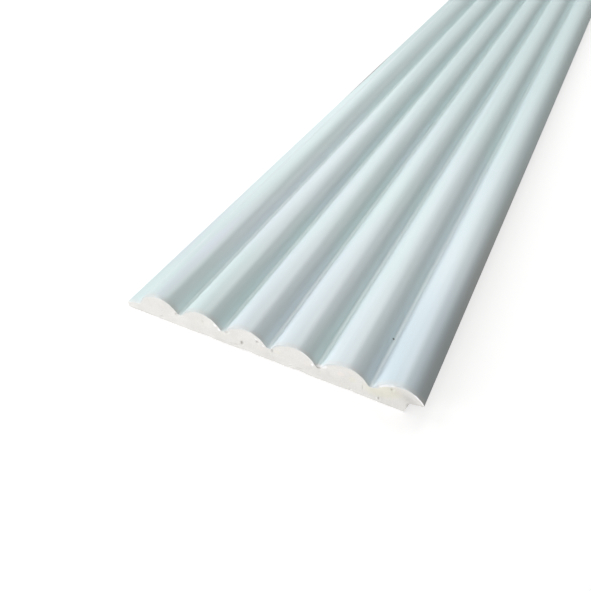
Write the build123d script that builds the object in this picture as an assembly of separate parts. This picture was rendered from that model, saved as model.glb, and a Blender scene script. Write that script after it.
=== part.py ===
"""Fluted wall panel: one length of extruded foam board, 2.4 m long.

The section is a thin flat web that carries a row of round reeds with narrow flutes between them.
Its left edge is a thin ledge and its right edge an overhanging lip. The lip of one panel laps over
the ledge of the next, so that the reeds keep their pitch across the joint.

The panel lies on its back. X runs across the reeds, Y along them and Z from the back to the crests.
The origin is the middle of the back, halfway along the length. All sizes are in millimetres.
"""
from build123d import *
import os
from math import radians, sqrt, tan

# Stock length, as it is sold.
panel_length = 2400.0

# Fluted face.
reed_count = 6
reed_pitch = 19.0  # crest to crest, also across the joint between two panels
reed_rise = 5.3  # crest above the floor of a flute
web_thickness = 6.2  # back to the floor of a flute
flute_land = 1.6  # flat floor between two reeds
flute_fillet = 0.5  # where a reed's flank turns into the floor

# Lapped edges. Lengths across the panel are measured from the cover line, halfway between two reeds.
rebate_width = 7.0  # cover line to the wall of the rebate under the lip
lap_slope = 13.0  # degrees by which the lip's underside and the ledge's top rise to the right
nose_thickness = 0.7  # the lip's edge, which leaves the rebate 4.7 high at its wall
bed_gap = 2.0  # room for adhesive between a lip and the ledge that it covers
side_gap = 0.3  # play between a ledge's tip and the wall of the rebate that takes it
nose_setback = 1.1  # the lip stops this far short of the cover line, as one more flute
nose_radius = 0.35  # lower corner of the lip
ledge_radius = 0.5  # upper corner of the ledge's tip

# Places that follow from the sizes above.
cover_width = reed_count * reed_pitch
crest_height = web_thickness + reed_rise
half_chord = (reed_pitch - flute_land) / 2
reed_radius = (half_chord**2 + reed_rise**2) / (2 * reed_rise)
reed_axis_height = crest_height - reed_radius
first_reed_x = (reed_pitch - cover_width) / 2
last_reed_x = -first_reed_x
lap_rise = tan(radians(lap_slope))

# Both flanks of a joint: the lip reaches right, the ledge reaches left.
rebate_wall_x = cover_width / 2 - rebate_width
nose_x = cover_width / 2 - nose_setback
nose_top = reed_axis_height + sqrt(reed_radius**2 - (nose_x - last_reed_x) ** 2)
nose_height = nose_top - nose_thickness
rebate_height = nose_height - lap_rise * (nose_x - rebate_wall_x)
ledge_tip_x = rebate_wall_x - cover_width + side_gap
ledge_tip_height = rebate_height - bed_gap + lap_rise * side_gap
ledge_root_x = first_reed_x - half_chord
ledge_root_height = ledge_tip_height + lap_rise * (ledge_root_x - ledge_tip_x)


def reeded_board() -> Sketch:
    """The web with its row of reeds, each a round bar sunk into the web and cut off at the back."""
    web = Pos(0, web_thickness / 2) * Rectangle(last_reed_x - first_reed_x, web_thickness)
    reed = Pos(0, reed_axis_height) * Circle(reed_radius)
    row = [Pos(first_reed_x + index * reed_pitch, 0) * reed for index in range(reed_count)]
    above_back = Pos(0, crest_height / 2) * Rectangle(cover_width + reed_pitch, crest_height)
    return (web + row) & above_back


def ledge() -> Sketch:
    """The thin edge on the left that the next panel's lip covers, rising towards the first reed."""
    outline = Polyline(
        (ledge_tip_x, 0),
        (ledge_tip_x, ledge_tip_height),
        (ledge_root_x, ledge_root_height),
        (ledge_root_x, 0),
        close=True,
    )
    return make_face(outline)


def rebate() -> Sketch:
    """What is cut from the right edge: the rebate under the lip, and all that lies past its nose."""
    beyond_x = last_reed_x + reed_pitch
    outline = Polyline(
        (rebate_wall_x, 0),
        (rebate_wall_x, rebate_height),
        (nose_x, nose_height),
        (nose_x, crest_height),
        (beyond_x, crest_height),
        (beyond_x, 0),
        close=True,
    )
    return make_face(outline)


def corners_at(section: Sketch, *points: tuple[float, float]) -> list[Vertex]:
    """The section's corners that lie on the given points."""
    near = 0.01
    return [
        corner
        for corner in section.vertices()
        if any(abs(corner.X - x) < near and abs(corner.Y - y) < near for x, y in points)
    ]


def panel_section() -> Sketch:
    """The whole section, drawn with X across the reeds and Y up from the back."""
    section = reeded_board() + ledge() - rebate()
    flute_feet = [
        (first_reed_x + index * reed_pitch + side * half_chord, web_thickness)
        for index in range(reed_count)
        for side in (-1, 1)
    ]
    section = fillet(corners_at(section, *flute_feet), flute_fillet)
    section = fillet(corners_at(section, (ledge_tip_x, ledge_tip_height)), ledge_radius)
    return fillet(corners_at(section, (nose_x, nose_height)), nose_radius)


def fluted_panel() -> Part:
    """The section drawn out to the stock length, centred over the middle of its back."""
    middle_x = (ledge_tip_x + nose_x) / 2
    panel = extrude(Plane.XZ * Pos(-middle_x, 0) * panel_section(), panel_length / 2, both=True)
    panel.label = "fluted_panel"
    return panel


os.makedirs("parts", exist_ok=True)
export_step(fluted_panel(), "parts/fluted_panel.step")
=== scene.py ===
"""Looks of the fluted wall panel: one length of coated foam board, lying on a pale floor.

The panel is one closed mesh: a long skin drawn along the section, a softened rim where the saw broke
the coat's edge, and the two sawn ends. Sizes are in millimetres, and a mesh is scaled to metres as it
is written. X runs across the reeds from the ledge to the lip, Y along them, and Z up from the back.
The near end, which the photograph shows, is the one at the low end of Y.
"""

import logging
from dataclasses import dataclass, field, replace
from enum import Enum
from math import cos, radians, sin, sqrt, tan

import bpy
import numpy as np
from mathutils import Euler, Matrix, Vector

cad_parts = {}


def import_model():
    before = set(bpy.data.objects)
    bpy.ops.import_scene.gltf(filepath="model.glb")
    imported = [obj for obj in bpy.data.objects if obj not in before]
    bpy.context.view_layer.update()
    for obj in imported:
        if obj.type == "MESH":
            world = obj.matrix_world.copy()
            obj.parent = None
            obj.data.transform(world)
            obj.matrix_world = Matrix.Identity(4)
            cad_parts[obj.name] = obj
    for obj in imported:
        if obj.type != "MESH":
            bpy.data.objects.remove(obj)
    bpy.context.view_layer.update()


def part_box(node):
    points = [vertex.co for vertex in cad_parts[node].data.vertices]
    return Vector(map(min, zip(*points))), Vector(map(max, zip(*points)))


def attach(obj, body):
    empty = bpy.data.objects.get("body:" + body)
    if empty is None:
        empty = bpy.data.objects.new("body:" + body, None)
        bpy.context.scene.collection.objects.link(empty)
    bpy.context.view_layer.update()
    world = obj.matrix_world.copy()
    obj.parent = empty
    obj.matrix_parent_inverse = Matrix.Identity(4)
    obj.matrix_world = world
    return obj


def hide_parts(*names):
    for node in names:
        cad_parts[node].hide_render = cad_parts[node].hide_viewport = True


Array = np.ndarray
Point = tuple[float, float]
Triple = tuple[float, float, float]
Socket = bpy.types.NodeSocket

MM = 0.001
TOUCH = 0.01  # millimetres within which a point counts as lying on a line
# The first look darkens pits and also carries painted shade
LOOKS = ("pit_and_painted_shade", "fleck", "stain", "worn")  # what each vertex carries for its material
TORN_WHITE: Triple = (0.96, 0.97, 0.99)  # the inside of the coat where it is torn

log = logging.getLogger("fluted_panel")


class Surface(Enum):
    """The three surfaces of the panel, numbered in the order of the mesh's material slots."""

    COAT = 0
    FOAM = 1
    BARE = 2


class End(Enum):
    """The two sawn ends, with the way along Y that each one faces."""

    NEAR = -1
    FAR = 1


def eased(share: Array) -> Array:
    """Shares from 0 to 1 with soft ends: 3t^2 - 2t^3."""
    return share * share * (3 - 2 * share)


def outward(outline: Array) -> Array:
    """Normals of a closed outline: square to the line from the point before to the point after.

    Args:
        outline: Rows of X and Z, clockwise.

    Returns:
        Rows of X and Z, each of length 1 and pointing out.
    """
    tangent = np.roll(outline, -1, axis=0) - np.roll(outline, 1, axis=0)
    normal = np.stack([-tangent[:, 1], tangent[:, 0]], axis=1)
    return normal / np.linalg.norm(normal, axis=1, keepdims=True)


@dataclass(frozen=True)
class Grain:
    """Smooth random relief on a plane, the same on every run.

    Attributes:
        size: Width of one cell of the lattice, in millimetres.
        seed: Number that the lattice's values are drawn from.
        stretch: How many times longer a cell is along the second axis.
        cells: Cells of the lattice each way, after which it repeats.
    """

    size: float
    seed: int
    stretch: float = 1.0
    cells: int = 128

    def at(self, first: Array, second: Array) -> Array:
        """Relief between -1 and 1 at each point.

        Each corner of a square lattice has a random value. A point takes the mean of its cell's four
        corners, weighted along each axis by how far through the cell it lies, eased.

        Args:
            first: First coordinate of the points.
            second: Second coordinate of the points.

        Returns:
            One value for each point.
        """
        lattice = np.random.default_rng(self.seed).uniform(-1, 1, (self.cells, self.cells))
        u = np.asarray(first) / self.size + self.cells / 2
        v = np.asarray(second) / (self.size * self.stretch) + self.cells / 2
        row, column = np.floor(u).astype(int), np.floor(v).astype(int)
        s, t = eased(u - row), eased(v - column)
        row, column = row % self.cells, column % self.cells
        below, beside = (row + 1) % self.cells, (column + 1) % self.cells
        near = lattice[row, column] * (1 - s) + lattice[below, column] * s
        far = lattice[row, beside] * (1 - s) + lattice[below, beside] * s
        return near * (1 - t) + far * t


class Trace:
    """A line drawn through the section in straight runs and arcs, each cut into equal steps."""

    def __init__(self, start: Point, fold: int) -> None:
        """Starts the line.

        Args:
            start: First point.
            fold: How many steps stand for each one that a run or a turn asks for.
        """
        self.fold = fold
        self.here = np.array(start, float)
        self.parts = [self.here[None, :]]

    def run(self, end: Point, steps: int) -> "Trace":
        """Adds a straight run: each point is the start plus its share of the way to the end.

        Args:
            end: Point where the run ends.
            steps: Equal steps, before the fold.

        Returns:
            The line itself, so that stretches can be chained.
        """
        share = np.arange(1, steps * self.fold + 1)[:, None] / (steps * self.fold)
        goal = np.array(end, float)
        self.parts.append(self.here + share * (goal - self.here))
        self.here = goal
        return self

    def turn(self, centre: Point, end: Point, steps: int) -> "Trace":
        """Adds an arc: the centre plus a spoke that turns evenly, the short way round, to the end.

        Args:
            centre: Middle of the arc.
            end: Point where the arc ends.
            steps: Equal steps, before the fold.

        Returns:
            The line itself, so that stretches can be chained.
        """
        middle, goal = np.array(centre, float), np.array(end, float)
        first, last = self.here - middle, goal - middle
        cross = first[0] * last[1] - first[1] * last[0]
        sweep = np.arctan2(cross, first @ last)
        angle = sweep * np.arange(1, steps * self.fold + 1) / (steps * self.fold)
        spoke = np.stack(
            [
                first[0] * np.cos(angle) - first[1] * np.sin(angle),
                first[0] * np.sin(angle) + first[1] * np.cos(angle),
            ],
            axis=1,
        )
        self.parts.append(middle + spoke)
        self.here = goal
        return self

    def points(self) -> Array:
        """Every point of the line so far, as rows of X and Z."""
        return np.concatenate(self.parts)


@dataclass(frozen=True)
class Foot:
    """Where a reed's flank turns into the floor beside it: the fillet's centre and its two ends."""

    centre: Point
    on_floor: Point
    on_reed: Point


@dataclass(frozen=True)
class Section:
    """The section across the panel, in millimetres, with X measured from the middle of its width.

    Attributes:
        reed_count: Rounded reeds across the face.
        reed_pitch: Crest to crest, also across the joint between two panels.
        reed_rise: Crest above the floor of a flute.
        web_thickness: Back to the floor of a flute.
        flute_land: Flat floor between two reeds.
        flute_fillet: Radius where a flank turns into the floor, with the coat that gathers there.
        root_fillet: Radius where the first flank turns into the ledge, with its coat.
        rebate_width: Cover line to the wall of the rebate under the lip.
        lap_slope: Degrees by which the lip's underside and the ledge's top rise to the right.
        nose_thickness: The lip's edge.
        bed_gap: Room for adhesive between a lip and the ledge that it covers.
        side_gap: Play between a ledge's tip and the wall of the rebate.
        nose_setback: How far the lip stops short of the cover line.
        nose_radius: Lower corner of the lip.
        ledge_radius: Upper corner of the ledge's tip.
        heel_radius: Worn corner where the rebate's wall meets the back.
        edge_radius: Softened corner under the ledge's tip and on top of the lip's nose.
        reed_steps: Coarse steps along a reed's arc.
        fillet_steps: Coarse steps along a fillet.
        ledge_steps: Coarse steps along the ledge's top.
        floor_steps: Coarse steps along the floor of a flute.
        side_steps: Coarse steps up the ledge's tip, and as many down the lip's nose.
        fold: How many steps the outline takes for each coarse one.
    """

    reed_count: int = 6
    reed_pitch: float = 19.0
    reed_rise: float = 5.3
    web_thickness: float = 6.2
    flute_land: float = 1.6
    flute_fillet: float = 0.9
    root_fillet: float = 0.5
    rebate_width: float = 7.0
    lap_slope: float = 13.0
    nose_thickness: float = 0.7
    bed_gap: float = 2.0
    side_gap: float = 0.3
    nose_setback: float = 1.1
    nose_radius: float = 0.35
    ledge_radius: float = 0.5
    heel_radius: float = 0.35
    edge_radius: float = 0.2
    reed_steps: int = 20
    fillet_steps: int = 3
    ledge_steps: int = 8
    floor_steps: int = 2
    side_steps: int = 12
    fold: int = 1

    @property
    def cover_width(self) -> float:
        """Width that one panel covers on the wall."""
        return self.reed_count * self.reed_pitch

    @property
    def middle(self) -> float:
        """How far the middle of the whole width lies left of the middle of the cover width."""
        return (self.side_gap - self.rebate_width - self.nose_setback) / -2

    @property
    def crest_height(self) -> float:
        """Height of the reeds' crests."""
        return self.web_thickness + self.reed_rise

    @property
    def half_chord(self) -> float:
        """Half of a reed's width at the floor of a flute."""
        return (self.reed_pitch - self.flute_land) / 2

    @property
    def reed_radius(self) -> float:
        """Radius of the circle through both feet and the crest of a reed."""
        return (self.half_chord**2 + self.reed_rise**2) / (2 * self.reed_rise)

    @property
    def axis_height(self) -> float:
        """Height of the reeds' axes."""
        return self.crest_height - self.reed_radius

    @property
    def slope(self) -> float:
        """Rise of the lapped faces for each millimetre to the right."""
        return tan(radians(self.lap_slope))

    @property
    def wall_x(self) -> float:
        """The wall of the rebate."""
        return self.cover_width / 2 - self.rebate_width + self.middle

    @property
    def nose_x(self) -> float:
        """The right edge of the lip."""
        return self.cover_width / 2 - self.nose_setback + self.middle

    @property
    def tip_x(self) -> float:
        """The left edge of the ledge."""
        return self.wall_x - self.cover_width + self.side_gap

    @property
    def nose_top(self) -> float:
        """Height where the last reed's arc ends at the lip's edge."""
        across = self.nose_x - self.axis_x(self.reed_count - 1)
        return self.axis_height + sqrt(self.reed_radius**2 - across**2)

    @property
    def nose_height(self) -> float:
        """Height of the lower corner of the lip."""
        return self.nose_top - self.nose_thickness

    @property
    def rebate_height(self) -> float:
        """Height of the rebate at its wall."""
        return self.nose_height - self.slope * (self.nose_x - self.wall_x)

    @property
    def tip_height(self) -> float:
        """Height of the ledge at its tip, before the corner is rounded."""
        return self.rebate_height - self.bed_gap + self.slope * self.side_gap

    def axis_x(self, reed: int) -> float:
        """Place across the panel of the axis of a reed, numbered from 0 at the ledge."""
        return (reed + 0.5) * self.reed_pitch - self.cover_width / 2 + self.middle

    def foot(self, reed: int, side: int, radius: float, floor: Point, rise: float) -> Foot:
        """The fillet between a reed's flank and a floor beside it.

        Its centre is one fillet radius above the floor line and one fillet radius outside the reed,
        so it is where the raised line meets the enlarged circle. It touches the floor straight below
        and touches the reed on the line to the reed's axis.

        Args:
            reed: Number of the reed.
            side: -1 for its left flank, 1 for its right.
            radius: Radius of the fillet.
            floor: A point of the floor line.
            rise: Slope of the floor line in degrees.

        Returns:
            The fillet.
        """
        axis = np.array([self.axis_x(reed), self.axis_height])
        heading = np.array([cos(radians(rise)), sin(radians(rise))])
        upright = np.array([-heading[1], heading[0]])
        start = np.array(floor) + radius * upright - axis
        reach = (self.reed_radius + radius) ** 2 - start @ start + (start @ heading) ** 2
        centre = axis + start + heading * (side * sqrt(reach) - start @ heading)
        spoke = (centre - axis) / np.linalg.norm(centre - axis)
        return Foot(tuple(centre), tuple(centre - radius * upright), tuple(axis + self.reed_radius * spoke))

    @property
    def brow(self) -> Foot:
        """The softened corner where the last reed meets the lip's upright edge.

        Its centre is one corner radius inside both: left of the edge, and on the circle about the
        reed's axis that is smaller by that radius.
        """
        axis = np.array([self.axis_x(self.reed_count - 1), self.axis_height])
        inner = self.reed_radius - self.edge_radius
        across = self.nose_x - self.edge_radius - axis[0]
        centre = axis + np.array([across, sqrt(inner**2 - across**2)])
        on_reed = axis + (centre - axis) * self.reed_radius / inner
        return Foot(tuple(centre), (self.nose_x, centre[1]), tuple(on_reed))

    def face(self) -> Array:
        """The coated face, from the ledge's tip over all the reeds to the top of the lip's nose."""
        rise = radians(self.lap_slope)
        corner_z = self.tip_height + self.ledge_radius * (tan(rise) - 1 / cos(rise))
        corner = (self.tip_x + self.ledge_radius, corner_z)
        shoulder = (corner[0] - self.ledge_radius * sin(rise), corner_z + self.ledge_radius * cos(rise))
        trace = Trace((self.tip_x, corner_z), self.fold).turn(corner, shoulder, self.fillet_steps)

        floor = (0.0, self.web_thickness)
        left = self.foot(0, -1, self.root_fillet, (self.tip_x, self.tip_height), self.lap_slope)
        trace.run(left.on_floor, self.ledge_steps).turn(left.centre, left.on_reed, self.fillet_steps)
        for reed in range(self.reed_count - 1):
            right = self.foot(reed, 1, self.flute_fillet, floor, 0)
            left = self.foot(reed + 1, -1, self.flute_fillet, floor, 0)
            trace.turn((self.axis_x(reed), self.axis_height), right.on_reed, self.reed_steps)
            trace.turn(right.centre, right.on_floor, self.fillet_steps)
            trace.run(left.on_floor, self.floor_steps)
            trace.turn(left.centre, left.on_reed, self.fillet_steps)
        last_axis = (self.axis_x(self.reed_count - 1), self.axis_height)
        return trace.turn(last_axis, self.brow.on_reed, self.reed_steps).points()

    def tip(self) -> Array:
        """The ledge's edge, from the back round its lower corner and up to where its upper one starts."""
        r = self.edge_radius
        trace = Trace((self.tip_x + r, 0.0), self.fold)
        trace.turn((self.tip_x + r, r), (self.tip_x, r), self.fillet_steps)
        return trace.run(tuple(self.face()[0]), self.side_steps - self.fillet_steps).points()

    def nose(self) -> Array:
        """The lip's edge: round its upper corner, down, and round its lower corner."""
        rise = radians(self.lap_slope)
        centre_z = self.nose_height + self.nose_radius * (1 / cos(rise) - tan(rise))
        centre = (self.nose_x - self.nose_radius, centre_z)
        end = (centre[0] + self.nose_radius * sin(rise), centre_z - self.nose_radius * cos(rise))
        third = self.side_steps // 3
        trace = Trace(self.brow.on_reed, self.fold).turn(self.brow.centre, self.brow.on_floor, third)
        trace.run((self.nose_x, centre_z), third)
        return trace.turn(centre, end, self.side_steps - 2 * third).points()

    def back(self) -> Array:
        """The lip's underside, the rebate's wall and the flat back, in as many steps as the face."""
        underside, wall, heel = 8, 3, 1
        rest = (len(self.face()) - 1) // self.fold - underside - wall - heel
        heel_centre = (self.wall_x - self.heel_radius, self.heel_radius)
        trace = Trace(tuple(self.nose()[-1]), self.fold).run((self.wall_x, self.rebate_height), underside)
        trace.run((self.wall_x, self.heel_radius), wall)
        trace.turn(heel_centre, (heel_centre[0], 0.0), heel)
        return trace.run((self.tip_x + self.edge_radius, 0.0), rest).points()

    def outline(self) -> Array:
        """The whole section, clockwise from the ledge's lower corner, with each point once."""
        return np.concatenate([side[:-1] for side in (self.tip(), self.face(), self.nose(), self.back())])

    def surfaces(self) -> Array:
        """The surface number of each step: coat on the ledge, face and nose, bare elsewhere."""
        coated = len(self.face()) - 1 + 2 * self.side_steps * self.fold
        return np.repeat([Surface.COAT.value, Surface.BARE.value], [coated, len(self.back()) - 1])

    def about_reeds(self, x: Array, z: Array) -> tuple[Array, Array, Array]:
        """Where points lie about the axis of the nearest reed.

        Args:
            x: Places across the panel.
            z: Heights.

        Returns:
            The reed's number, the degrees from its crest, to the right above 0, and the depth under its
            surface, which is the radius less the way to the axis.
        """
        across, up = x - self.axis_x(0), z - self.axis_height
        reed = np.clip(np.round(across / self.reed_pitch), 0, self.reed_count - 1).astype(int)
        across = across - reed * self.reed_pitch
        return reed, np.degrees(np.arctan2(across, up)), self.reed_radius - np.hypot(across, up)


@dataclass
class Draft:
    """Vertices and faces gathered for one mesh, in millimetres.

    Attributes:
        points: Blocks of vertices.
        looks: Blocks of rows of the values that each vertex carries, in the order of LOOKS.
        rings: Blocks of faces, each an array of rows of vertex numbers.
        surfaces: The surface number of each face, block by block.
        count: Vertices gathered so far.
        crease: Degrees between two faces past which the edge between them is sharp.
    """

    points: list[Array] = field(default_factory=list)
    looks: list[Array] = field(default_factory=list)
    rings: list[Array] = field(default_factory=list)
    surfaces: list[Array] = field(default_factory=list)
    count: int = 0
    crease: float = 38.0

    def add(self, xyz: Array, looks: Array | None = None) -> Array:
        """Takes in vertices.

        Args:
            xyz: An array whose last axis is X, Y and Z.
            looks: The looks of the same vertices, or nothing for clean ones.

        Returns:
            The vertices' numbers, in the array's own shape.
        """
        total = xyz[..., 0].size
        numbers = np.arange(self.count, self.count + total).reshape(xyz.shape[:-1])
        self.points.append(xyz.reshape(-1, 3))
        self.looks.append(np.zeros((total, len(LOOKS))) if looks is None else looks.reshape(total, -1))
        self.count += total
        return numbers

    def fill(self, corners: Array, surface: Array | int, flip: bool) -> None:
        """Adds faces, as rows of vertex numbers, with a surface number for each or one for all."""
        self.rings.append(corners[:, ::-1] if flip else corners)
        self.surfaces.append(np.broadcast_to(surface, len(corners)))

    def band(self, first: Array, second: Array, surface: Array | int, flip: bool = False) -> None:
        """Joins two loops, the first nearer the low end of Y, by a closed band of four-sided faces."""
        corners = np.stack([first, np.roll(first, -1), np.roll(second, -1), second], axis=1)
        self.fill(corners, surface, flip)

    def ease(self, fine: Array, coarse: Array, surface: Array, flip: bool) -> None:
        """Joins a fine loop to a coarse one by fans of triangles.

        Each step of the coarse loop faces as many fine steps as the loops' ratio. The first half of
        them are joined to the step's start and the rest to its end, and one triangle closes the gap.

        Args:
            fine: Vertex numbers of the fine loop.
            coarse: Vertex numbers of the coarse loop, whose first vertex faces the fine loop's first.
            surface: The surface number of each coarse step.
            flip: Whether the faces are turned over.
        """
        fold = len(fine) // len(coarse)
        ends = np.roll(coarse, -1)
        for step in range(fold):
            a = fine[step::fold]
            b = np.roll(fine, -1)[step::fold]
            self.fill(np.stack([a, b, coarse if step < fold // 2 else ends], axis=1), surface, flip)
        self.fill(np.stack([fine[fold // 2 :: fold], ends, coarse], axis=1), surface, flip)

    def mesh(self, name: str) -> bpy.types.Mesh:
        """Writes the gathered faces into a mesh, scaled to metres.

        Args:
            name: Name of the mesh.

        Returns:
            The mesh, with smooth faces, their surface numbers and the looks of each vertex.
        """
        mesh = bpy.data.meshes.new(name)
        sizes = np.concatenate([np.full(len(ring), ring.shape[1]) for ring in self.rings])
        mesh.vertices.add(self.count)
        mesh.loops.add(int(sizes.sum()))
        mesh.polygons.add(len(sizes))
        mesh.vertices.foreach_set("co", (np.concatenate(self.points) * MM).ravel())
        mesh.loops.foreach_set("vertex_index", np.concatenate([ring.ravel() for ring in self.rings]))
        mesh.polygons.foreach_set("loop_start", np.concatenate([[0], np.cumsum(sizes)[:-1]]))
        mesh.polygons.foreach_set("material_index", np.concatenate(self.surfaces))
        mesh.update(calc_edges=True)
        looks = np.concatenate(self.looks)
        for column, look in enumerate(LOOKS):
            mesh.attributes.new(look, "FLOAT", "POINT").data.foreach_set("value", looks[:, column])
        mesh.shade_smooth()
        mesh.set_sharp_from_angle(angle=radians(self.crease))
        return mesh


@dataclass(frozen=True)
class Mark:
    """A smooth hollow or patch on the sawn foam, longer one way than the other: a flaw, or painted shade.

    Attributes:
        x: Place across the panel, in millimetres.
        z: Height, in millimetres.
        length: Half its length.
        width: Half its width.
        turn: Degrees from level to its length.
        depth: How deep its middle is sunk.
        pit_and_painted_shade: How dark its middle is, from 0 to 1, as the dark of a hollow and as painted
            shade.
        fleck: How much torn white coat covers it, from 0 to 1.
        stain: How much it yellows the foam, or below 0 how much it pinks it.
    """

    x: float
    z: float
    length: float
    width: float
    turn: float = 0.0
    depth: float = 0.0
    pit_and_painted_shade: float = 0.0
    fleck: float = 0.0
    stain: float = 0.0

    def weight(self, x: Array, z: Array) -> Array:
        """How much of the mark each point has: exp(-r^4), with r the distance in half sizes.

        Args:
            x: Places across the panel.
            z: Heights.

        Returns:
            One value from 0 to 1 for each point.
        """
        c, s = cos(radians(self.turn)), sin(radians(self.turn))
        along = ((x - self.x) * c + (z - self.z) * s) / self.length
        across = ((z - self.z) * c - (x - self.x) * s) / self.width
        return np.exp(-((along**2 + across**2) ** 2))


@dataclass(frozen=True)
class CoatEdge:
    """A stretch of a reed where the coat's edge shows bright on the sawn end.

    Attributes:
        reed: Number of the reed, from 0 at the ledge.
        start: Degrees from the crest to where it starts, to the right above 0.
        stop: Degrees from the crest to where it stops.
        depth: How far below the outline the bright band reaches, in millimetres.
        strength: How bright it is, from 0 to 1.
        fade: Degrees over which it fades in and out.
        blur: Width over which its lower edge fades, in millimetres.
    """

    reed: int
    start: float
    stop: float
    depth: float
    strength: float
    fade: float = 4.0
    blur: float = 0.25

    def weight(self, reed: Array, angle: Array, depth: Array) -> Array:
        """How bright points on the cut are: the strength times a linear fade at each of three edges.

        Args:
            reed: Numbers of the nearest reeds.
            angle: Degrees from their crests.
            depth: Depths under their surfaces.

        Returns:
            One value from 0 to 1 for each point.
        """
        past_start = np.clip((angle - self.start) / self.fade, 0, 1)
        before_stop = np.clip((self.stop - angle) / self.fade, 0, 1)
        above = np.clip((self.depth - depth) / self.blur + 0.5, 0, 1)
        return self.strength * (reed == self.reed) * past_start * before_stop * above


@dataclass
class SawnEnd:
    """One sawn end: the softened rim of the coat and the foam inside it.

    Attributes:
        section: The section that was cut, with the fold of its fine outline.
        end: Which end of the panel it is.
        half_length: From the middle of the panel to the plane of the cut.
        rim_steps: Steps round the rim, from the skin to the foam.
        rim_depth: How far from the cut the rim starts to turn in.
        rim_fades: The power by which each look fades round the rim, in the order of LOOKS.
        pressed_insets: How far in the foam starts on each reed's left flank, where the saw pressed
            the coat in, from the ledge to the lip.
        clean_inset: The same on a reed's right flank, where the saw left it square.
        floor_inset: The same on the floor of a flute.
        edge_inset: The same on the back, the ledge's tip and the lip's nose.
        pressed_span: Degrees from a reed's crest between which the pressed inset turns clean.
        flank_height: Height over the floor by which a flank has its reed's inset.
        nose_reach: How far from the lip's nose the insets start to narrow to the edge's.
        ragged: Share by which a grain varies the insets.
        ragged_grain: Width of that grain's cells.
        ragged_stretch: How high they are for each millimetre of width.
        drag: How far the saw has dragged the foam out at the top of the rebate's wall.
        drag_reach: How far from the wall that drag fades out along the lip's underside.
        drag_depth: How much deeper the rim is for each millimetre of drag.
        marks: Flaws of the foam, and patches of painted shade.
        coat_edges: Stretches where the coat's edge shows.
        back_chips: Where the back's edge has crumbled: place across the panel, height and half width.
        chip_depth: How much deeper the rim is for each millimetre that the back has crumbled.
        crumbs: Size and height of each grain of the cut.
        tooth_pitch: Distance from one tooth mark of the saw to the next.
        tooth_height: Half the depth of those marks.
        tooth_slant: How far they move to the left for each millimetre up.
        seed: Number that the grains of this end are drawn from.
    """

    section: Section
    end: End
    half_length: float
    rim_steps: int
    rim_depth: float = 0.22
    rim_fades: tuple[int, ...] = (6, 2, 6, 1)
    pressed_insets: tuple[float, ...] = (1.1, 1.0, 1.3, 1.3, 1.2, 1.3)
    clean_inset: float = 0.14
    floor_inset: float = 0.2
    edge_inset: float = 0.1
    pressed_span: Point = (-25.0, 40.0)
    flank_height: float = 1.5
    nose_reach: float = 3.0
    ragged: float = 0.3
    ragged_grain: float = 1.3
    ragged_stretch: float = 0.5
    drag: float = 0.0
    drag_reach: float = 3.0
    drag_depth: float = 1.3
    marks: tuple[Mark, ...] = ()
    coat_edges: tuple[CoatEdge, ...] = ()
    back_chips: tuple[Triple, ...] = ()
    chip_depth: float = 1.6
    crumbs: tuple[Point, ...] = ((9.0, 0.06), (1.4, 0.03), (0.5, 0.02))
    tooth_pitch: float = 1.3
    tooth_height: float = 0.012
    tooth_slant: float = 0.35
    seed: int = 1

    def insets(self, outline: Array) -> tuple[Array, Array]:
        """How far inside the outline the foam starts, ragged by a grain, and how deep the rim goes.

        Round a reed it goes from the pressed inset to the clean one, eased over the span of angles
        between the two. Down a flank it goes to the floor's inset in proportion to the height above
        the floor, and to the edge's over the last stretch before the lip's nose. The back crumbles
        in smooth dips, exp(-d^2), at its chips, which go deeper than they are high.

        Args:
            outline: Rows of X and Z.

        Returns:
            One inset and one depth for each point.
        """
        s = self.section
        x, z = outline[:, 0], outline[:, 1]
        reed, angle, _ = s.about_reeds(x, z)
        on_ledge = x < s.axis_x(0)
        floor_z = np.where(on_ledge, s.tip_height + s.slope * (x - s.tip_x), s.web_thickness)
        floor = np.where(on_ledge, self.edge_inset, self.floor_inset)
        up_flank = np.clip((z - floor_z) / self.flank_height, 0, 1)
        near_nose = np.clip((s.nose_x - x) / self.nose_reach, 0, 1)
        start, stop = self.pressed_span
        clean = eased(np.clip((angle - start) / (stop - start), 0, 1))
        pressed = np.array(self.pressed_insets)[reed]
        on_reed = pressed + clean * (self.clean_inset - pressed)
        wanted = floor + up_flank * (on_reed - floor)
        step = np.arange(len(x))
        on_face = (step >= s.side_steps * s.fold) & (step < len(x) // 2)
        inset = self.edge_inset + on_face * near_nose * (wanted - self.edge_inset)
        ragged = 1 + self.ragged * Grain(self.ragged_grain, self.seed, self.ragged_stretch).at(x, z)
        chips = sum(high * np.exp(-(((x - chip) / reach) ** 2)) for chip, high, reach in self.back_chips)
        broken = np.where(z < TOUCH, chips, 0)
        return inset * ragged + broken, self.rim_depth + self.chip_depth * broken

    def dragged(self, outline: Array) -> Array:
        """How far the saw has dragged points of the outline out, along the lip's underside.

        It grows in proportion to the height up the rebate's wall, and along the underside it fades in
        proportion to the way from the wall, so the corner between the two moves furthest.

        Args:
            outline: Rows of X and Z.

        Returns:
            Rows of X and Z to add.
        """
        s = self.section
        x, z = outline[:, 0], outline[:, 1]
        from_wall = x - s.wall_x
        in_rebate = (from_wall > -TOUCH) & (z < s.rebate_height + s.slope * from_wall + TOUCH)
        up_wall = np.clip(z / s.rebate_height, 0, 1)
        share = in_rebate * up_wall * np.clip(1 - from_wall / self.drag_reach, 0, 1)
        return self.drag * share[:, None] * np.array([1, s.slope])

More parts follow.
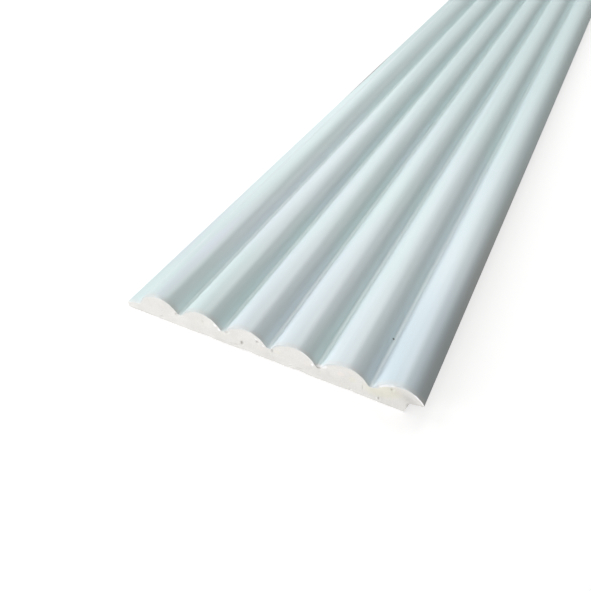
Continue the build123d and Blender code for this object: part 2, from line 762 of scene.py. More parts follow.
    def relief(self, x: Array, z: Array) -> Array:
        """How far the cut stands back from its plane: drift of the saw, crumbs and sunken marks.

        It is the sum of the grains and of a slanted sine for the saw's teeth, all above 0, plus each
        mark's depth times its weight.

        Args:
            x: Places across the panel.
            z: Heights.

        Returns:
            One depth for each point.
        """
        grains = enumerate(self.crumbs, start=1)
        rough = sum(high * (1 + Grain(size, self.seed + step).at(x, z)) for step, (size, high) in grains)
        teeth = 1 + np.sin((x + self.tooth_slant * z) * 2 * np.pi / self.tooth_pitch)
        sunk = sum(mark.depth * mark.weight(x, z) for mark in self.marks)
        return rough + self.tooth_height * teeth + sunk

    def looks(self, x: Array, z: Array) -> Array:
        """The looks of points on the cut: pit, fleck and stain, each the sum over the marks.

        A bright coat edge adds to the fleck, and worn is 1, because the coat is off the cut. The sums
        are kept within 1, and the stain also above -1.

        Args:
            x: Places across the panel.
            z: Heights.

        Returns:
            The looks of each point, in the order of LOOKS.
        """
        total = np.zeros(x.shape + (len(LOOKS),))
        for mark in self.marks:
            total += mark.weight(x, z)[..., None] * np.array([mark.pit_and_painted_shade, mark.fleck, mark.stain, 0])
        about = self.section.about_reeds(x, z)
        total[..., LOOKS.index("fleck")] += sum(edge.weight(*about) for edge in self.coat_edges)
        total[..., LOOKS.index("worn")] = 1
        return np.clip(total, (0, 0, -1, 0), 1)

    def place(self, x: Array, z: Array, back: Array) -> Array:
        """Points of the panel at a depth behind this end's plane."""
        return np.stack([x, self.end.value * (self.half_length - back), z], axis=-1)

    def patch(self, rim: Array) -> tuple[Array, Array]:
        """A Coons patch inside a closed rim: both lofts between opposite sides, less the corners' blend.

        Args:
            rim: Rows of X and Z, clockwise from the ledge's lower corner.

        Returns:
            Grids of X and of Z, over the face by up the ledge's tip.
        """
        up, over = self.section.side_steps * self.section.fold, len(self.section.face()) - 1
        closed = np.concatenate([rim, rim[:1]])
        left, top = closed[: up + 1], closed[up : up + over + 1]
        right = closed[up + over : 2 * up + over + 1][::-1]
        bottom = closed[2 * up + over :][::-1]
        u = np.linspace(0, 1, over + 1)[:, None, None]
        v = np.linspace(0, 1, up + 1)[None, :, None]
        lofts = (1 - v) * bottom[:, None] + v * top[:, None] + (1 - u) * left[None] + u * right[None]
        blend = (1 - u) * ((1 - v) * bottom[0] + v * top[0]) + u * ((1 - v) * bottom[-1] + v * top[-1])
        cut = lofts - blend
        return cut[..., 0], cut[..., 1]

    def build(self, draft: Draft, coarse: Array) -> None:
        """Builds the rim and the cut, and joins them to the skin's last loop.

        The rim is a quarter of an ellipse at each point of the outline: at angle a it has moved by
        push * (1 - cos a) and lies back from the cut's plane by depth * (1 - sin a), plus the relief
        of the cut times sin a. There each look of the cut is multiplied by its own power of sin a.

        Args:
            draft: Where vertices and faces are gathered.
            coarse: Vertex numbers of the skin's last loop.
        """
        flip = self.end is End.FAR
        outline, surfaces = self.section.outline(), self.section.surfaces()
        inset, depth = self.insets(outline)
        dragged = self.dragged(outline)
        push = dragged - inset[:, None] * outward(outline)
        depth = depth + self.drag_depth * np.linalg.norm(dragged, axis=1)
        rim = outline + push
        x, z = self.patch(rim)
        grid = draft.add(self.place(x, z, self.relief(x, z)), self.looks(x, z))
        cells = [grid[:-1, :-1], grid[1:, :-1], grid[1:, 1:], grid[:-1, 1:]]
        draft.fill(np.stack([cell.ravel() for cell in cells], axis=1), Surface.FOAM.value, flip)

        loop = np.concatenate([grid[0, :-1], grid[:-1, -1], grid[-1, :0:-1], grid[:0:-1, 0]])
        settled = self.relief(*rim.T)
        for step in range(1, self.rim_steps + 1):
            angle = (1 - step / self.rim_steps) * np.pi / 2
            x, z = (outline + push * (1 - cos(angle))).T
            back = depth * (1 - sin(angle)) + settled * sin(angle)
            fade = sin(angle) ** np.array(self.rim_fades)
            following = draft.add(self.place(x, z, back), self.looks(x, z) * fade)
            draft.band(loop, following, surfaces, flip)
            loop = following
        draft.ease(loop, coarse, surfaces[:: self.section.fold], flip)


class Nodes:
    """The node tree of a material or a world under construction."""

    def __init__(self, owner: bpy.types.Material | bpy.types.World) -> None:
        """Opens the tree of a material or a world.

        Args:
            owner: The material or the world.
        """
        owner.use_nodes = True
        self.owner = owner
        self.tree = owner.node_tree

    def link(self, value: object, socket: Socket) -> None:
        """Feeds a socket from another node, or sets it to a plain value or colour.

        Args:
            value: An output socket, a number or a colour.
            socket: The input socket.
        """
        if isinstance(value, Socket):
            self.tree.links.new(value, socket)
        elif socket.type == "RGBA":
            socket.default_value = (*value, 1.0)
        else:
            socket.default_value = value

    def set(self, node: str, feeds: dict[str, object]) -> None:
        """Feeds or sets sockets of a node that the tree started with.

        Args:
            node: Name of the node.
            feeds: An output socket, a number or a colour for each input's name.
        """
        for name, value in feeds.items():
            self.link(value, self.tree.nodes[node].inputs[name])

    def node(self, kind: str, feeds: dict[str | int, object], result: str | int, **settings: str) -> Socket:
        """Adds a node.

        Args:
            kind: The node's type, without ShaderNode before it.
            feeds: An output socket, a number or a colour for each input's name or number.
            result: Name or number of the output that is wanted.
            settings: The node's own settings.

        Returns:
            That output.
        """
        node = self.tree.nodes.new(f"ShaderNode{kind}")
        for name, value in settings.items():
            setattr(node, name, value)
        for name, value in feeds.items():
            self.link(value, node.inputs[name])
        return node.outputs[result]

    def place(self, scale: Triple) -> Socket:
        """The panel's own coordinates in metres, scaled along each axis."""
        place = self.node("TexCoord", {}, "Object")
        return self.node("Mapping", {"Vector": place, "Scale": scale}, "Vector")

    def distance_along(self) -> Socket:
        """How far points lie from the middle of the panel along its length: the size of their Y."""
        y = self.node("SeparateXYZ", {"Vector": self.node("TexCoord", {}, "Object")}, "Y")
        return self.node("Math", {0: y}, "Value", operation="ABSOLUTE")

    def noise(self, scale: Triple, layers: float) -> Socket:
        """Smooth noise from 0 to 1, with so many cells for each metre and so many finer layers."""
        return self.node("TexNoise", {"Vector": self.place(scale), "Scale": 1.0, "Detail": layers}, "Fac")

    def cells(self, scale: Triple) -> Socket:
        """Distance to the walls between round cells, from 0 at a wall, with so many for each metre."""
        feeds = {"Vector": self.place(scale), "Scale": 1.0}
        return self.node("TexVoronoi", feeds, "Distance", feature="DISTANCE_TO_EDGE")

    def product(self, first: Socket, second: Socket) -> Socket:
        """Two values multiplied."""
        return self.node("Math", {0: first, 1: second}, "Value", operation="MULTIPLY")

    def attribute(self, look: str) -> Socket:
        """A look that the mesh's vertices carry."""
        return self.node("Attribute", {}, "Fac", attribute_name=look)

    def ramp(self, value: Socket, low: float, high: float) -> Socket:
        """A value spread so that low becomes 0 and high becomes 1, smoothly and within both."""
        feeds = {"Value": value, "From Min": low, "From Max": high}
        return self.node("MapRange", feeds, "Result", interpolation_type="SMOOTHSTEP")

    def between(self, value: Socket, low: float, high: float) -> Socket:
        """A value from 0 to 1 spread evenly between two levels."""
        return self.node("MapRange", {"Value": value, "To Min": low, "To Max": high}, "Result")

    def mix(self, share: object, first: object, second: object, kind: str = "MIX") -> Socket:
        """The first colour with a share of the second, mixed in one of Blender's ways."""
        feeds = {"Factor": share, 6: first, 7: second}
        return self.node("Mix", feeds, 2, data_type="RGBA", blend_type=kind)

    def times(self, first: object, second: object) -> Socket:
        """Two colours multiplied."""
        return self.mix(1.0, first, second, "MULTIPLY")

    def spot(self, middle: Triple, size: Triple) -> Socket:
        """An egg-shaped spot: full up to 0.5 of its size from its middle, and gone past 1.5.

        Args:
            middle: Its middle, in metres.
            size: How far from there half of it is left, along each axis, in metres.

        Returns:
            How much of the spot a point has, from 0 to 1.
        """
        scale = tuple(1 / half for half in size)
        feeds = {0: self.place(scale), 1: tuple(at * by for at, by in zip(middle, scale))}
        return self.ramp(self.node("VectorMath", feeds, "Value", operation="DISTANCE"), 1.5, 0.5)

    def bumped(self, *layers: tuple[Socket, float, float]) -> Socket:
        """A chain of bumps.

        Args:
            layers: For each bump its height, its strength and the height that 1 stands for, in metres.

        Returns:
            The normal that comes out of the last.
        """
        under = {}
        for height, strength, distance in layers:
            feeds = {"Height": height, "Strength": strength, "Distance": distance, **under}
            under = {"Normal": self.node("Bump", feeds, "Normal")}
        return under["Normal"]

    def show(self, output: str, seen: Socket, otherwise: Socket) -> None:
        """Gives an output node one shader for what the camera sees, and one for light thrown elsewhere."""
        ray = self.node("LightPath", {}, "Is Camera Ray")
        self.set(output, {"Surface": self.node("MixShader", {"Fac": ray, 1: otherwise, 2: seen}, "Shader")})


@dataclass(frozen=True)
class Spot:
    """A place on the coat with a colour over the coat's own: a real mark, or painted shade or light.

    Attributes:
        middle: Its middle, in metres.
        size: How far from there half of it is left, along each axis, in metres.
        colour: Its colour, or what the coat's colour is multiplied by.
        kind: The way of mixing the two, as Blender names it.
    """

    middle: Triple
    size: Triple
    colour: Triple
    kind: str = "MIX"


@dataclass(frozen=True)
class CoatFinish:
    """The factory coat on the face: a cool satin white, with faint streaks from the die.

    Patterns are given by their cells for each metre along each axis, and a relief by its strength and
    the height that 1 stands for, in metres.

    Attributes:
        white: Colour of the coat.
        mint: Colour that broad patches lean to.
        lilac: Colour that the others lean to.
        evenness: How much of the plain colour is mixed into the patches.
        sea: Colour that the coat drifts to away from a sawn end.
        drift: How far from a sawn end that drift is over, in metres.
        torn: Colour of the coat's edge where the saw has pulled it over the foam.
        bruise: What the coat's colour is multiplied by where it is bent over at a sawn end.
        bent: Values of worn between which the bruise comes in.
        pulled: Values of worn between which the torn edge comes in.
        roughness: How dull the coat is.
        torn_roughness: How dull its torn edge is.
        ior: Its index of refraction.
        patches: Pattern of the patches.
        patch_range: Values of that pattern between which mint turns lilac.
        streaks: Pattern of the streaks along the panel.
        streak_greys: What the streaks multiply the colour by.
        streak_relief: Relief of the streaks.
        peel: Pattern of the coat's fine ripple.
        peel_relief: Relief of that ripple.
        grains: Pattern of the saw's dust.
        dust_reach: How far from a sawn end that dust lies on the coat, in metres.
        spots_and_painted_light: Painted shade on the last reed at the near end, darker painted shade down
            its right flank, a paler place on the first reed's crest, painted light down its right flank,
            the one dark speck, a painted shadow along the ledge's edge, and the torn flake in the fourth
            flute.
    """

    white: Triple = (0.734, 0.848, 0.870)
    mint: Triple = (0.724, 0.856, 0.860)
    lilac: Triple = (0.745, 0.840, 0.881)
    evenness: float = 0.1
    sea: Triple = (0.714, 0.848, 0.858)
    drift: float = 0.32
    torn: Triple = (0.76, 0.765, 0.745)
    bruise: Triple = (0.90, 0.90, 0.90)
    bent: Point = (0.0, 0.6)
    pulled: Point = (0.75, 1.0)
    roughness: float = 0.3
    torn_roughness: float = 0.8
    ior: float = 1.47
    patches: Triple = (38, 13, 38)
    patch_range: Point = (0.38, 0.62)
    streaks: Triple = (900, 7, 900)
    streak_greys: Point = (0.965, 1.02)
    streak_relief: Point = (0.25, 0.00006)
    peel: Triple = (1600, 500, 1600)
    peel_relief: Point = (0.3, 0.00002)
    grains: Triple = (700, 350, 700)
    dust_reach: float = 0.003
    spots_and_painted_light: tuple[Spot, ...] = (
        # Painted shade: the last reed darker near the near end, standing in for the light falling off there
        Spot((0.054, -1.2, 0.008), (0.012, 0.055, 0.02), (0.89, 0.925, 0.95), "MULTIPLY"),
        # Painted shade: darker down the last reed's right flank, which faces away from the light
        Spot((0.0592, -1.2, 0.007), (0.0040, 0.13, 0.0040), (0.84, 0.80, 0.775), "MULTIPLY"),
        Spot((-0.0428, -1.18, 0.0115), (0.0024, 0.035, 0.0040), (1.07, 1.04, 1.09), "MULTIPLY"),
        # Painted light: the first reed's right flank made paler, as if more light reached it
        Spot((-0.0366, -1.01, 0.0082), (0.0028, 0.22, 0.0035), (1.14, 1.10, 1.10), "MULTIPLY"),
        Spot((0.0411, -1.1768, 0.0062), (0.00045, 0.00045, 0.00045), (0.12, 0.14, 0.14)),
        # Painted shadow: a dark line along the ledge's edge
        Spot((-0.0597, -0.947, 0.0028), (0.0009, 0.037, 0.0009), (0.17, 0.15, 0.16)),
        Spot((0.0235, -1.1997, 0.0064), (0.0016, 0.0011, 0.0014), TORN_WHITE),
    )

    def material(self, half_length: float) -> bpy.types.Material:
        """The coat's material: patches and streaks in its colour, a fine ripple, and each spot, painted
        light and shade among them.

        Towards a sawn end it is dusted with foam, and over the rim it fades into the torn edge.

        Args:
            half_length: From the middle of the panel to a sawn end, in metres.

        Returns:
            The material.
        """
        nodes = Nodes(bpy.data.materials.new("satin_coat"))
        streaks = nodes.noise(self.streaks, layers=3)
        patches = nodes.ramp(nodes.noise(self.patches, layers=1), *self.patch_range)
        tint = nodes.mix(patches, self.mint, self.lilac)
        tint = nodes.mix(self.evenness, tint, self.white)
        along = nodes.distance_along()
        tint = nodes.mix(nodes.ramp(along, half_length, half_length - self.drift), tint, self.sea)
        tint = nodes.times(tint, nodes.between(streaks, *self.streak_greys))
        # Each spot lays its colour on the coat: the real marks, painted shade on the last reed, painted
        # light on the first reed's right flank, and a painted shadow along the ledge
        for spot in self.spots_and_painted_light:
            tint = nodes.mix(nodes.spot(spot.middle, spot.size), tint, spot.colour, spot.kind)
        near_saw = nodes.ramp(along, half_length - self.dust_reach, half_length)
        tint = nodes.mix(nodes.product(near_saw, nodes.noise(self.grains, layers=3)), tint, self.torn)
        worn = nodes.attribute("worn")
        tint = nodes.mix(nodes.ramp(worn, *self.bent), tint, self.bruise, "MULTIPLY")
        pulled = nodes.ramp(worn, *self.pulled)
        tint = nodes.mix(pulled, tint, self.torn)
        shader = {
            "Base Color": nodes.mix(nodes.attribute("fleck"), tint, TORN_WHITE),
            "Roughness": nodes.between(pulled, self.roughness, self.torn_roughness),
            "IOR": self.ior,
            "Normal": nodes.bumped(
                (streaks, *self.streak_relief),
                (nodes.noise(self.peel, layers=2), *self.peel_relief),
            ),
        }
        nodes.set("Principled BSDF", shader)
        return nodes.owner


@dataclass(frozen=True)
class FoamFinish:
    """The sawn foam: pale cream, with fine closed cells, dark pits, painted shade and flecks of torn coat.

    Attributes:
        cream: Colour of clean foam.
        shade: Colour that the clean foam drifts to in broad patches.
        pit_and_painted_shade: Colour inside pits, and of the painted shade.
        coat: Colour of a torn fleck of coat.
        yellow: Colour of a yellow stain.
        pink: Colour of a pink stain.
        roughness: How dull the foam is.
        specular: How much it shines.
        patches: Pattern of the broad patches.
        patch_range: Values of that pattern between which cream turns to the shade.
        cells: Pattern of the foam's finest cells.
        cell_greys: What they multiply the colour by.
        cell_relief: Their relief.
        holes: Pattern of the larger cells that the saw has opened.
        hole_range: Distances from a cell's wall over which the dark of the wall fades.
        hole_greys: What that dark multiplies the colour by.
        hole_relief: Relief of the open cells.
    """

    cream: Triple = (0.822, 0.822, 0.802)
    shade: Triple = (0.775, 0.774, 0.748)
    pit_and_painted_shade: Triple = (0.30, 0.29, 0.27)
    coat: Triple = (0.97, 0.975, 0.99)
    yellow: Triple = (0.79, 0.79, 0.63)
    pink: Triple = (0.89, 0.82, 0.79)
    roughness: float = 0.85
    specular: float = 0.25
    patches: Triple = (160, 160, 160)
    patch_range: Point = (0.35, 0.7)
    cells: Triple = (2600, 2600, 2600)
    cell_greys: Point = (0.975, 1.015)
    cell_relief: Point = (0.15, 0.00006)
    holes: Triple = (1500, 1500, 1500)
    hole_range: Point = (0.02, 0.22)
    hole_greys: Point = (0.95, 1.0)
    hole_relief: Point = (0.25, 0.00008)

    def material(self) -> bpy.types.Material:
        """The foam's material: cells and broad patches in its colour, and what each vertex carries."""
        nodes = Nodes(bpy.data.materials.new("sawn_foam"))
        cells, holes = nodes.noise(self.cells, layers=2), nodes.cells(self.holes)
        walls = nodes.ramp(holes, *self.hole_range)
        patches = nodes.ramp(nodes.noise(self.patches, layers=3), *self.patch_range)
        tint = nodes.mix(patches, self.cream, self.shade)
        tint = nodes.times(tint, nodes.between(cells, *self.cell_greys))
        tint = nodes.times(tint, nodes.between(walls, *self.hole_greys))
        stain = nodes.attribute("stain")
        tint = nodes.mix(nodes.ramp(stain, 0.0, 1.0), tint, self.yellow)
        tint = nodes.mix(nodes.ramp(stain, 0.0, -1.0), tint, self.pink)
        # Darkens pits and lays on the painted shade that the marks carry
        tint = nodes.mix(nodes.attribute("pit_and_painted_shade"), tint, self.pit_and_painted_shade)
        shader = {
            "Base Color": nodes.mix(nodes.attribute("fleck"), tint, self.coat),
            "Roughness": self.roughness,
            "Specular IOR Level": self.specular,
            "Normal": nodes.bumped((holes, *self.hole_relief), (cells, *self.cell_relief)),
        }
        nodes.set("Principled BSDF", shader)
        return nodes.owner


@dataclass(frozen=True)
class BareFinish:
    """The bare back and rebate: the foam's own pale skin, dragged into fine lines by the die.

    Attributes:
        pale: Colour of the skin.
        dull: Colour of the lines in it.
        roughness: How dull the skin is.
        glow_reach: How far light strays under the skin, through the foam's cells, in metres.
        lines: Pattern of the lines.
        line_range: Values of that pattern between which pale turns dull.
        line_relief: Relief of the lines.
        clouds: Pattern of broad clouds.
        cloud_greys: What they multiply the colour by.
        pocks: Pattern of the shallow pocks.
        pock_range: Distances from a pock's rim over which it sinks.
        pock_relief: Relief of the pocks.
    """

    pale: Triple = (0.88, 0.88, 0.85)
    dull: Triple = (0.80, 0.80, 0.77)
    roughness: float = 0.62
    glow_reach: float = 0.003
    lines: Triple = (700, 4, 700)
    line_range: Point = (0.4, 0.7)
    line_relief: Point = (0.5, 0.00008)
    clouds: Triple = (30, 12, 30)
    cloud_greys: Point = (0.93, 1.05)
    pocks: Triple = (320, 110, 320)
    pock_range: Point = (0.0, 0.25)
    pock_relief: Point = (0.4, 0.00012)

    def material(self) -> bpy.types.Material:
        """The skin's material: long fine lines along the panel, and shallow pocks."""
        nodes = Nodes(bpy.data.materials.new("bare_skin"))
        lines = nodes.noise(self.lines, layers=4)
        clouds = nodes.between(nodes.noise(self.clouds, layers=3), *self.cloud_greys)
        pocks = nodes.ramp(nodes.cells(self.pocks), *self.pock_range)
        tint = nodes.mix(nodes.ramp(lines, *self.line_range), self.pale, self.dull)
        shader = {
            "Base Color": nodes.times(tint, clouds),
            "Roughness": self.roughness,
            "Subsurface Weight": 1.0,
            "Subsurface Radius": (1.0, 1.0, 1.0),
            "Subsurface Scale": self.glow_reach,
            "Normal": nodes.bumped((lines, *self.line_relief), (pocks, *self.pock_relief)),
        }
        nodes.set("Principled BSDF", shader)
        return nodes.owner


@dataclass(frozen=True)
class FloorFinish:
    """The studio floor: plain and pale, lit from below, with the weak bounce of one masked by cards.

    Attributes:
        glow: Brightness of the light from below, as it is seen.
        matte: How much of the studio's light shows on it besides.
        bounced: Brightness of the light that it throws on the panel.
    """

    glow: float = 0.70
    matte: float = 0.45
    bounced: float = 0.5

    def material(self) -> bpy.types.Material:
        """A glowing matte material for what is seen, and a dull one for what is thrown back."""
        nodes = Nodes(bpy.data.materials.new("pale_floor"))
        nodes.tree.nodes.remove(nodes.tree.nodes["Principled BSDF"])
        matte = nodes.node("BsdfDiffuse", {"Color": (self.matte,) * 3}, "BSDF")
        bounced = nodes.node("BsdfDiffuse", {"Color": (self.bounced,) * 3}, "BSDF")
        glow = nodes.node("Emission", {"Color": (self.glow,) * 3}, "Emission")
        nodes.show("Material Output", nodes.node("AddShader", {0: matte, 1: glow}, "Shader"), bounced)
        return nodes.owner


@dataclass
class FlutedPanel:
    """The panel: its long skin, its two sawn ends and its three finishes.

    Attributes:
        length: Length of the panel, in millimetres.
        section: The section across it, with its coarse outline.
        coat: Finish of the face.
        foam: Finish of the sawn ends.
        bare: Finish of the back and the rebate.
        rim_room: How far from a sawn end's plane the skin ends, which leaves room for the rim.
        close_reach: How far from the near end the skin's stations stand close together.
        close_stations: How many stations there are up to there.
        far_stations: How many there are from there on.
        swell: How far the skin swells and sinks.
        swell_grain: Long, slight grain of that swell.
        calm_reach: How far from a sawn end the swell starts to calm down.
        flat_height: Height below which nothing swells, because the back lies flat.
    """

    length: float
    section: Section = field(default_factory=Section)
    coat: CoatFinish = field(default_factory=CoatFinish)
    foam: FoamFinish = field(default_factory=FoamFinish)
    bare: BareFinish = field(default_factory=BareFinish)
    rim_room: float = 2.0
    close_reach: float = 460.0
    close_stations: int = 40
    far_stations: int = 25
    swell: float = 0.05
    swell_grain: Grain = Grain(14.0, 5, stretch=9.0)
    calm_reach: float = 30.0
    flat_height: float = 1.0

    def near_end(self) -> SawnEnd:
        """The end in the photograph, with each flaw where the photograph shows it."""
        # Hollows whose darkened middles are partly dirt and partly painted shade, and three darker patches
        pits = (
            Mark(-13.1, 6.5, 0.7, 0.5, 30, 0.4, 0.3),
            Mark(-6.9, 3.8, 0.6, 1.0, 0, 0.5, 0.3),
            Mark(-0.4, 7.4, 0.5, 0.6, 20, 0.4, 0.35),
            Mark(49.2, 8.6, 0.6, 0.5, 40, 0.3, 0.2),
            Mark(45.1, 2.0, 0.4, 0.7, 0, 0.4, 0.22),
            Mark(23.2, 6.0, 0.8, 0.45, -20, 0.8, 0.7),
            Mark(5.4, 5.7, 0.18, 1.0, 0, 0.3, 0.25),
            Mark(-35.5, 5.9, 0.7, 0.4, -15, 0.4, 0.3),
            Mark(16.4, 1.8, 1.6, 0.35, 12, 0.3, 0.2),
            Mark(-10.1, 1.7, 2.4, 0.4, 8, 0.3, 0.16),
            Mark(12.4, 1.5, 0.8, 0.3, 20, 0.3, 0.2),
            Mark(39.2, 4.6, 0.16, 1.4, 0, 0.2, 0.16),
            Mark(35.1, 1.3, 0.5, 0.4, 0, 0.3, 0.2),
            Mark(-43.0, 1.6, 0.6, 0.6, 0, 0.2, 0.12),
            Mark(-23.3, 7.4, 0.6, 0.7, 0, 0.2, 0.1),
            Mark(26.8, 5.0, 1.0, 1.8, 20, pit_and_painted_shade=0.06),
            Mark(-16.8, 1.2, 2.6, 0.6, 4, pit_and_painted_shade=0.1),
            Mark(20.0, 4.4, 2.2, 1.0, 40, pit_and_painted_shade=0.06),
        )
        flecks = (
            Mark(-0.7, 8.4, 0.9, 0.35, -40, fleck=0.9),
            Mark(1.9, 6.4, 0.5, 0.35, -50, fleck=0.9),
            Mark(-18.1, 7.8, 0.8, 0.5, -50, fleck=1.0),
            Mark(-16.6, 6.3, 0.7, 0.5, -30, fleck=1.0),
            Mark(12.4, 2.1, 0.7, 0.25, 25, fleck=0.6),
            Mark(44.3, 1.8, 0.35, 0.4, 0, fleck=0.8),
            Mark(20.9, 6.3, 0.4, 0.7, 0, fleck=1.0),
            Mark(22.6, 6.9, 0.7, 0.35, 10, fleck=1.0),
            Mark(25.4, 7.5, 1.2, 0.7, 40, fleck=1.0),
            Mark(35.3, 0.9, 0.4, 0.3, 0, fleck=0.7),
        )
        stains_and_painted_shade = (
            Mark(7.5, 6.0, 1.8, 1.2, 20, stain=0.3),
            Mark(31.4, 7.0, 1.6, 1.2, 20, stain=-0.45),
            Mark(35.6, 6.4, 1.8, 1.6, 10, stain=0.35),
            Mark(34.6, 9.4, 1.6, 0.7, -20, stain=-0.3),
            Mark(46.0, 6.5, 7.5, 4.0, 15, stain=0.5),
            Mark(28.6, 9.0, 2.6, 1.2, 40, stain=0.22),
            Mark(-41.5, 8.0, 3.0, 1.6, -35, stain=-0.2),
            Mark(0.5, 4.6, 2.6, 1.6, 0, stain=-0.22),
            Mark(-24.0, 7.6, 4.0, 2.2, 0, stain=0.18),
            Mark(-15.0, 4.6, 3.0, 1.8, 10, stain=0.16),
            Mark(19.0, 6.0, 2.0, 1.6, -40, stain=-0.25),
            # Painted shade on the cut: darker round the lip and over its right part, a painted shadow in
            # the rebate's corner, and faint painted shade at its left
            Mark(55.6, 6.6, 3.2, 1.2, -24, pit_and_painted_shade=0.13),
            Mark(52.0, 3.0, 11.0, 6.0, 5, pit_and_painted_shade=0.08),
            Mark(55.3, 3.8, 1.2, 1.4, 0, pit_and_painted_shade=0.5),
            Mark(52.5, 8.3, 5.5, 2.6, -20, pit_and_painted_shade=0.1),
            Mark(-50.0, 4.0, 9.0, 6.0, 0, pit_and_painted_shade=0.04),
        )
        edges = (
            CoatEdge(5, -48, -9, 1.1, 0.9),
            CoatEdge(5, 28, 60, 0.5, 1.0),
            CoatEdge(3, 18, 62, 0.35, 0.8),
            CoatEdge(1, 30, 62, 0.4, 0.7),
            CoatEdge(2, 35, 62, 0.35, 0.6),
        )
        chips = (
            (-23.1, 0.6, 2.6),
            (-5.1, 0.75, 2.2),
            (2.4, 0.25, 8.0),
            (6.1, 0.2, 1.8),
            (15.4, 0.65, 2.6),
            (34.9, 0.3, 3.0),
        )
        return SawnEnd(
            replace(self.section, fold=4), End.NEAR, self.length / 2, rim_steps=6,
            drag=1.25, marks=pits + flecks + stains_and_painted_shade, coat_edges=edges, back_chips=chips, seed=11,
        )

    def far_end(self) -> SawnEnd:
        """The end that the photograph doesn't show: the same kind of cut, with few flaws."""
        # Three hollows, darkened partly as painted shade, and two stains
        marks = (
            Mark(-31.0, 4.0, 0.5, 0.5, 0, 0.5, 0.5),
            Mark(8.0, 6.5, 0.6, 0.4, 30, 0.4, 0.4),
            Mark(27.0, 2.6, 0.4, 0.6, 0, 0.4, 0.4),
            Mark(-50.0, 6.0, 2.4, 1.2, 10, stain=0.5),
            Mark(14.0, 8.0, 2.0, 1.0, -20, stain=-0.5),
        )
        return SawnEnd(
            replace(self.section, fold=2), End.FAR, self.length / 2, rim_steps=4,
            pressed_insets=(0.8,) * self.section.reed_count, marks=marks,
            back_chips=((-24.0, 0.6, 2.2), (31.0, 0.5, 3.0)), seed=41,
        )

    def stations(self) -> Array:
        """Places along the panel where the coarse outline is set, close together near the near end."""
        half = self.length / 2
        close = np.linspace(-half + self.rim_room, -half + self.close_reach, self.close_stations)
        rest = np.linspace(-half + self.close_reach, half - self.rim_room, self.far_stations + 1)[1:]
        return np.concatenate([close, rest])

    def skin(self, draft: Draft) -> tuple[Array, Array]:
        """The long skin: the coarse outline at each station, moved out or in by the swell.

        Args:
            draft: Where vertices and faces are gathered.

        Returns:
            Vertex numbers of its first and its last loop.
        """
        outline = self.section.outline()
        x, y = np.broadcast_arrays(outline[None, :, 0], self.stations()[:, None])
        raised = outline[:, 1] > self.flat_height
        calm = np.clip((self.length / 2 - abs(y)) / self.calm_reach, 0, 1) * raised
        swell = (self.swell * calm * self.swell_grain.at(x, y))[..., None] * outward(outline)
        loops = draft.add(np.stack([x + swell[..., 0], y, outline[:, 1] + swell[..., 1]], axis=-1))
        for first, second in zip(loops[:-1], loops[1:]):
            draft.band(first, second, self.section.surfaces())
        return loops[0], loops[-1]

    def build(self) -> bpy.types.Object:
        """Builds the panel as one closed mesh and dresses it.

        Returns:
            The panel's object, at the origin, with its place in its mesh.
        """
        draft = Draft()
        first, last = self.skin(draft)
        self.near_end().build(draft, first)
        self.far_end().build(draft, last)
        panel = bpy.data.objects.new("coated_panel", draft.mesh("coated_panel"))
        coat = self.coat.material(self.length / 2 * MM)
        for material in (coat, self.foam.material(), self.bare.material()):
            panel.data.materials.append(material)
        bpy.context.scene.collection.objects.link(panel)
        return panel


@dataclass(frozen=True)
class Lamp:
    """A square soft light that looks at one point.

    Attributes:
        name: Name of the light.
        bearing: Degrees from +X round to the light, seen from above.
        elevation: Degrees from level up to the light.
        size: Width of its square, in metres.
        power: Power in watts.
        colour: Colour of its light.
        distance: How far it hangs from what it looks at, in metres.
        target: What it looks at, in metres.
        spread: Degrees across its beam, as a grid on its front narrows it.
    """

    name: str
    bearing: float
    elevation: float
    size: float
    power: float
    colour: Triple = (1.0, 1.0, 1.0)
    distance: float = 1.5
    target: Triple = (0.0, -1.05, 0.0)
    spread: float = 180.0

    def hang(self) -> None:
        """Puts the light into the scene, at its distance along its bearing and elevation."""
        lamp = bpy.data.lights.new(self.name, "AREA")
        lamp.size = self.size
        lamp.energy = self.power
        lamp.color = self.colour
        lamp.spread = radians(self.spread)
        holder = bpy.data.objects.new(self.name, lamp)
        level, up = cos(radians(self.elevation)), sin(radians(self.elevation))
        spoke = Vector((level * cos(radians(self.bearing)), level * sin(radians(self.bearing)), up))
        holder.location = Vector(self.target) + self.distance * spoke
        holder.rotation_euler = (-spoke).to_track_quat("-Z", "Y").to_euler()
        holder.visible_camera = False
        bpy.context.scene.collection.objects.link(holder)


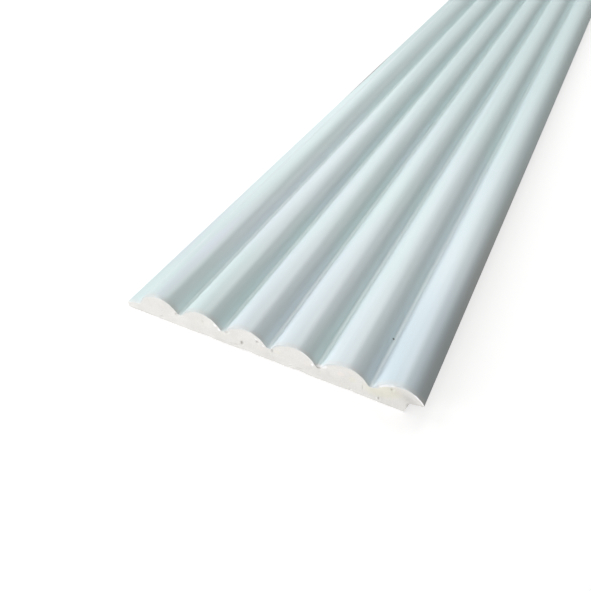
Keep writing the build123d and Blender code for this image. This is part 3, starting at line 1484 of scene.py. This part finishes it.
@dataclass(frozen=True)
class Studio:
    """The floor, the light and the camera.

    Attributes:
        floor_reach: Half the width of the floor, in metres.
        camera_place: Where the camera stands, in metres.
        camera_turn: The camera's turn about X, Y and Z in degrees, from looking straight down.
        focal_length: Focal length in millimetres.
        sensor_width: Width of the sensor in millimetres.
        nearest: How near to the camera things still show, in metres.
        dome: Colour of the light from all round.
        dome_strength: Strength of that light.
        backdrop: Brightness of the pale backdrop behind the floor, as it is seen.
        lamps: The soft lights.
    """

    floor_reach: float = 14.0
    camera_place: Triple = (0.077187, -1.311098, 0.151569)
    camera_turn: Triple = (47.642, 1.624, 27.537)
    focal_length: float = 34.416
    sensor_width: float = 36.0
    nearest: float = 0.01
    dome: Triple = (1.0, 0.936, 0.86)
    dome_strength: float = 0.147
    backdrop: float = 0.77
    lamps: tuple[Lamp, ...] = (
        Lamp("left_light", 178, 35, 1.0, 8.4, (1.05, 1.0, 1.035)),
        Lamp("low_left_light", 230, 12, 0.7, 12.5, (0.98, 1.0, 1.005)),
        Lamp("front_light", 268, 14, 0.7, 7.5, (1.04, 1.0, 0.99)),
        Lamp("top_light", 100, 55, 0.6, 4.3, (0.98, 1.0, 1.0)),
        Lamp("back_light", 95, 30, 0.8, 1.5, (0.89, 1.0, 0.975)),
        Lamp("back_right_light", 64, 38, 0.45, 1.5),
        Lamp("skimming_light", 128, 8, 0.6, 0.93, (0.97, 1.0, 0.96)),
        Lamp("middle_light", 165, 49, 1.2, 8.0, (0.95, 1.0, 1.01), 1.73, (0.0, 0.6, 0.0)),
        Lamp("overhead_light", 180, 73, 1.0, 2.0, distance=1.68, target=(0.0, 0.2, 0.0)),
        Lamp("far_left_light", 178, 35, 0.9, 1.4, target=(0.0, 0.8, 0.0), spread=80),
        Lamp("low_far_left_light", 152, 14, 0.5, 0.35, target=(0.0, 1.0, 0.0), spread=50),
        Lamp("far_end_light", 92, 38, 0.4, 0.12, distance=1.2, target=(0.0, 1.2, 0.0), spread=36),
    )

    def lay_floor(self) -> None:
        """Lays a square floor under the panel, from its four corners."""
        mesh = bpy.data.meshes.new("floor")
        r = self.floor_reach
        mesh.from_pydata([(-r, -r, 0), (r, -r, 0), (r, r, 0), (-r, r, 0)], [], [(0, 1, 2, 3)])
        mesh.materials.append(FloorFinish().material())
        floor = bpy.data.objects.new("floor", mesh)
        bpy.context.scene.collection.objects.link(floor)

    def light(self) -> None:
        """Sets the dome's light and hangs the lamps."""
        nodes = Nodes(bpy.data.worlds.new("studio"))
        nodes.set("Background", {"Color": self.dome, "Strength": self.dome_strength})
        seen = {"Color": (1.0, 1.0, 1.0), "Strength": self.backdrop}
        dome = nodes.tree.nodes["Background"].outputs["Background"]
        nodes.show("World Output", nodes.node("Background", seen, "Background"), dome)
        bpy.context.scene.world = nodes.owner
        for lamp in self.lamps:
            lamp.hang()

    def set_camera(self) -> None:
        """Stands the camera where the photograph was taken from."""
        camera = bpy.data.cameras.new("camera")
        camera.sensor_width = self.sensor_width
        camera.lens = self.focal_length
        camera.clip_start = self.nearest
        holder = bpy.data.objects.new("camera", camera)
        holder.location = self.camera_place
        holder.rotation_euler = Euler([radians(turn) for turn in self.camera_turn], "XYZ")
        bpy.context.scene.collection.objects.link(holder)
        bpy.context.scene.camera = holder

    def set_up(self) -> None:
        """Builds the whole studio and sets how the picture's brightness is shown."""
        self.lay_floor()
        self.light()
        self.set_camera()
        bpy.context.scene.view_settings.view_transform = "Standard"


def corners(box: tuple[Vector, Vector]) -> list[list[float]]:
    """The lowest and the highest corner of a box as plain lists."""
    return [[float(value) for value in corner] for corner in box]


def main() -> None:
    """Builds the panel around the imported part, then the studio."""
    logging.basicConfig(level=logging.INFO, format="%(name)s: %(message)s")
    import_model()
    low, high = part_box("fluted_panel")

    panel = FlutedPanel(length=(high.y - low.y) / MM).build()
    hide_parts("fluted_panel")
    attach(panel, "root")
    log.info("%s: %d vertices, %d faces", panel.name, len(panel.data.vertices), len(panel.data.polygons))

    studio = Studio()
    studio.set_up()
    log.info("studio: %d lamps", len(studio.lamps))


if __name__ == "__main__":
    main()
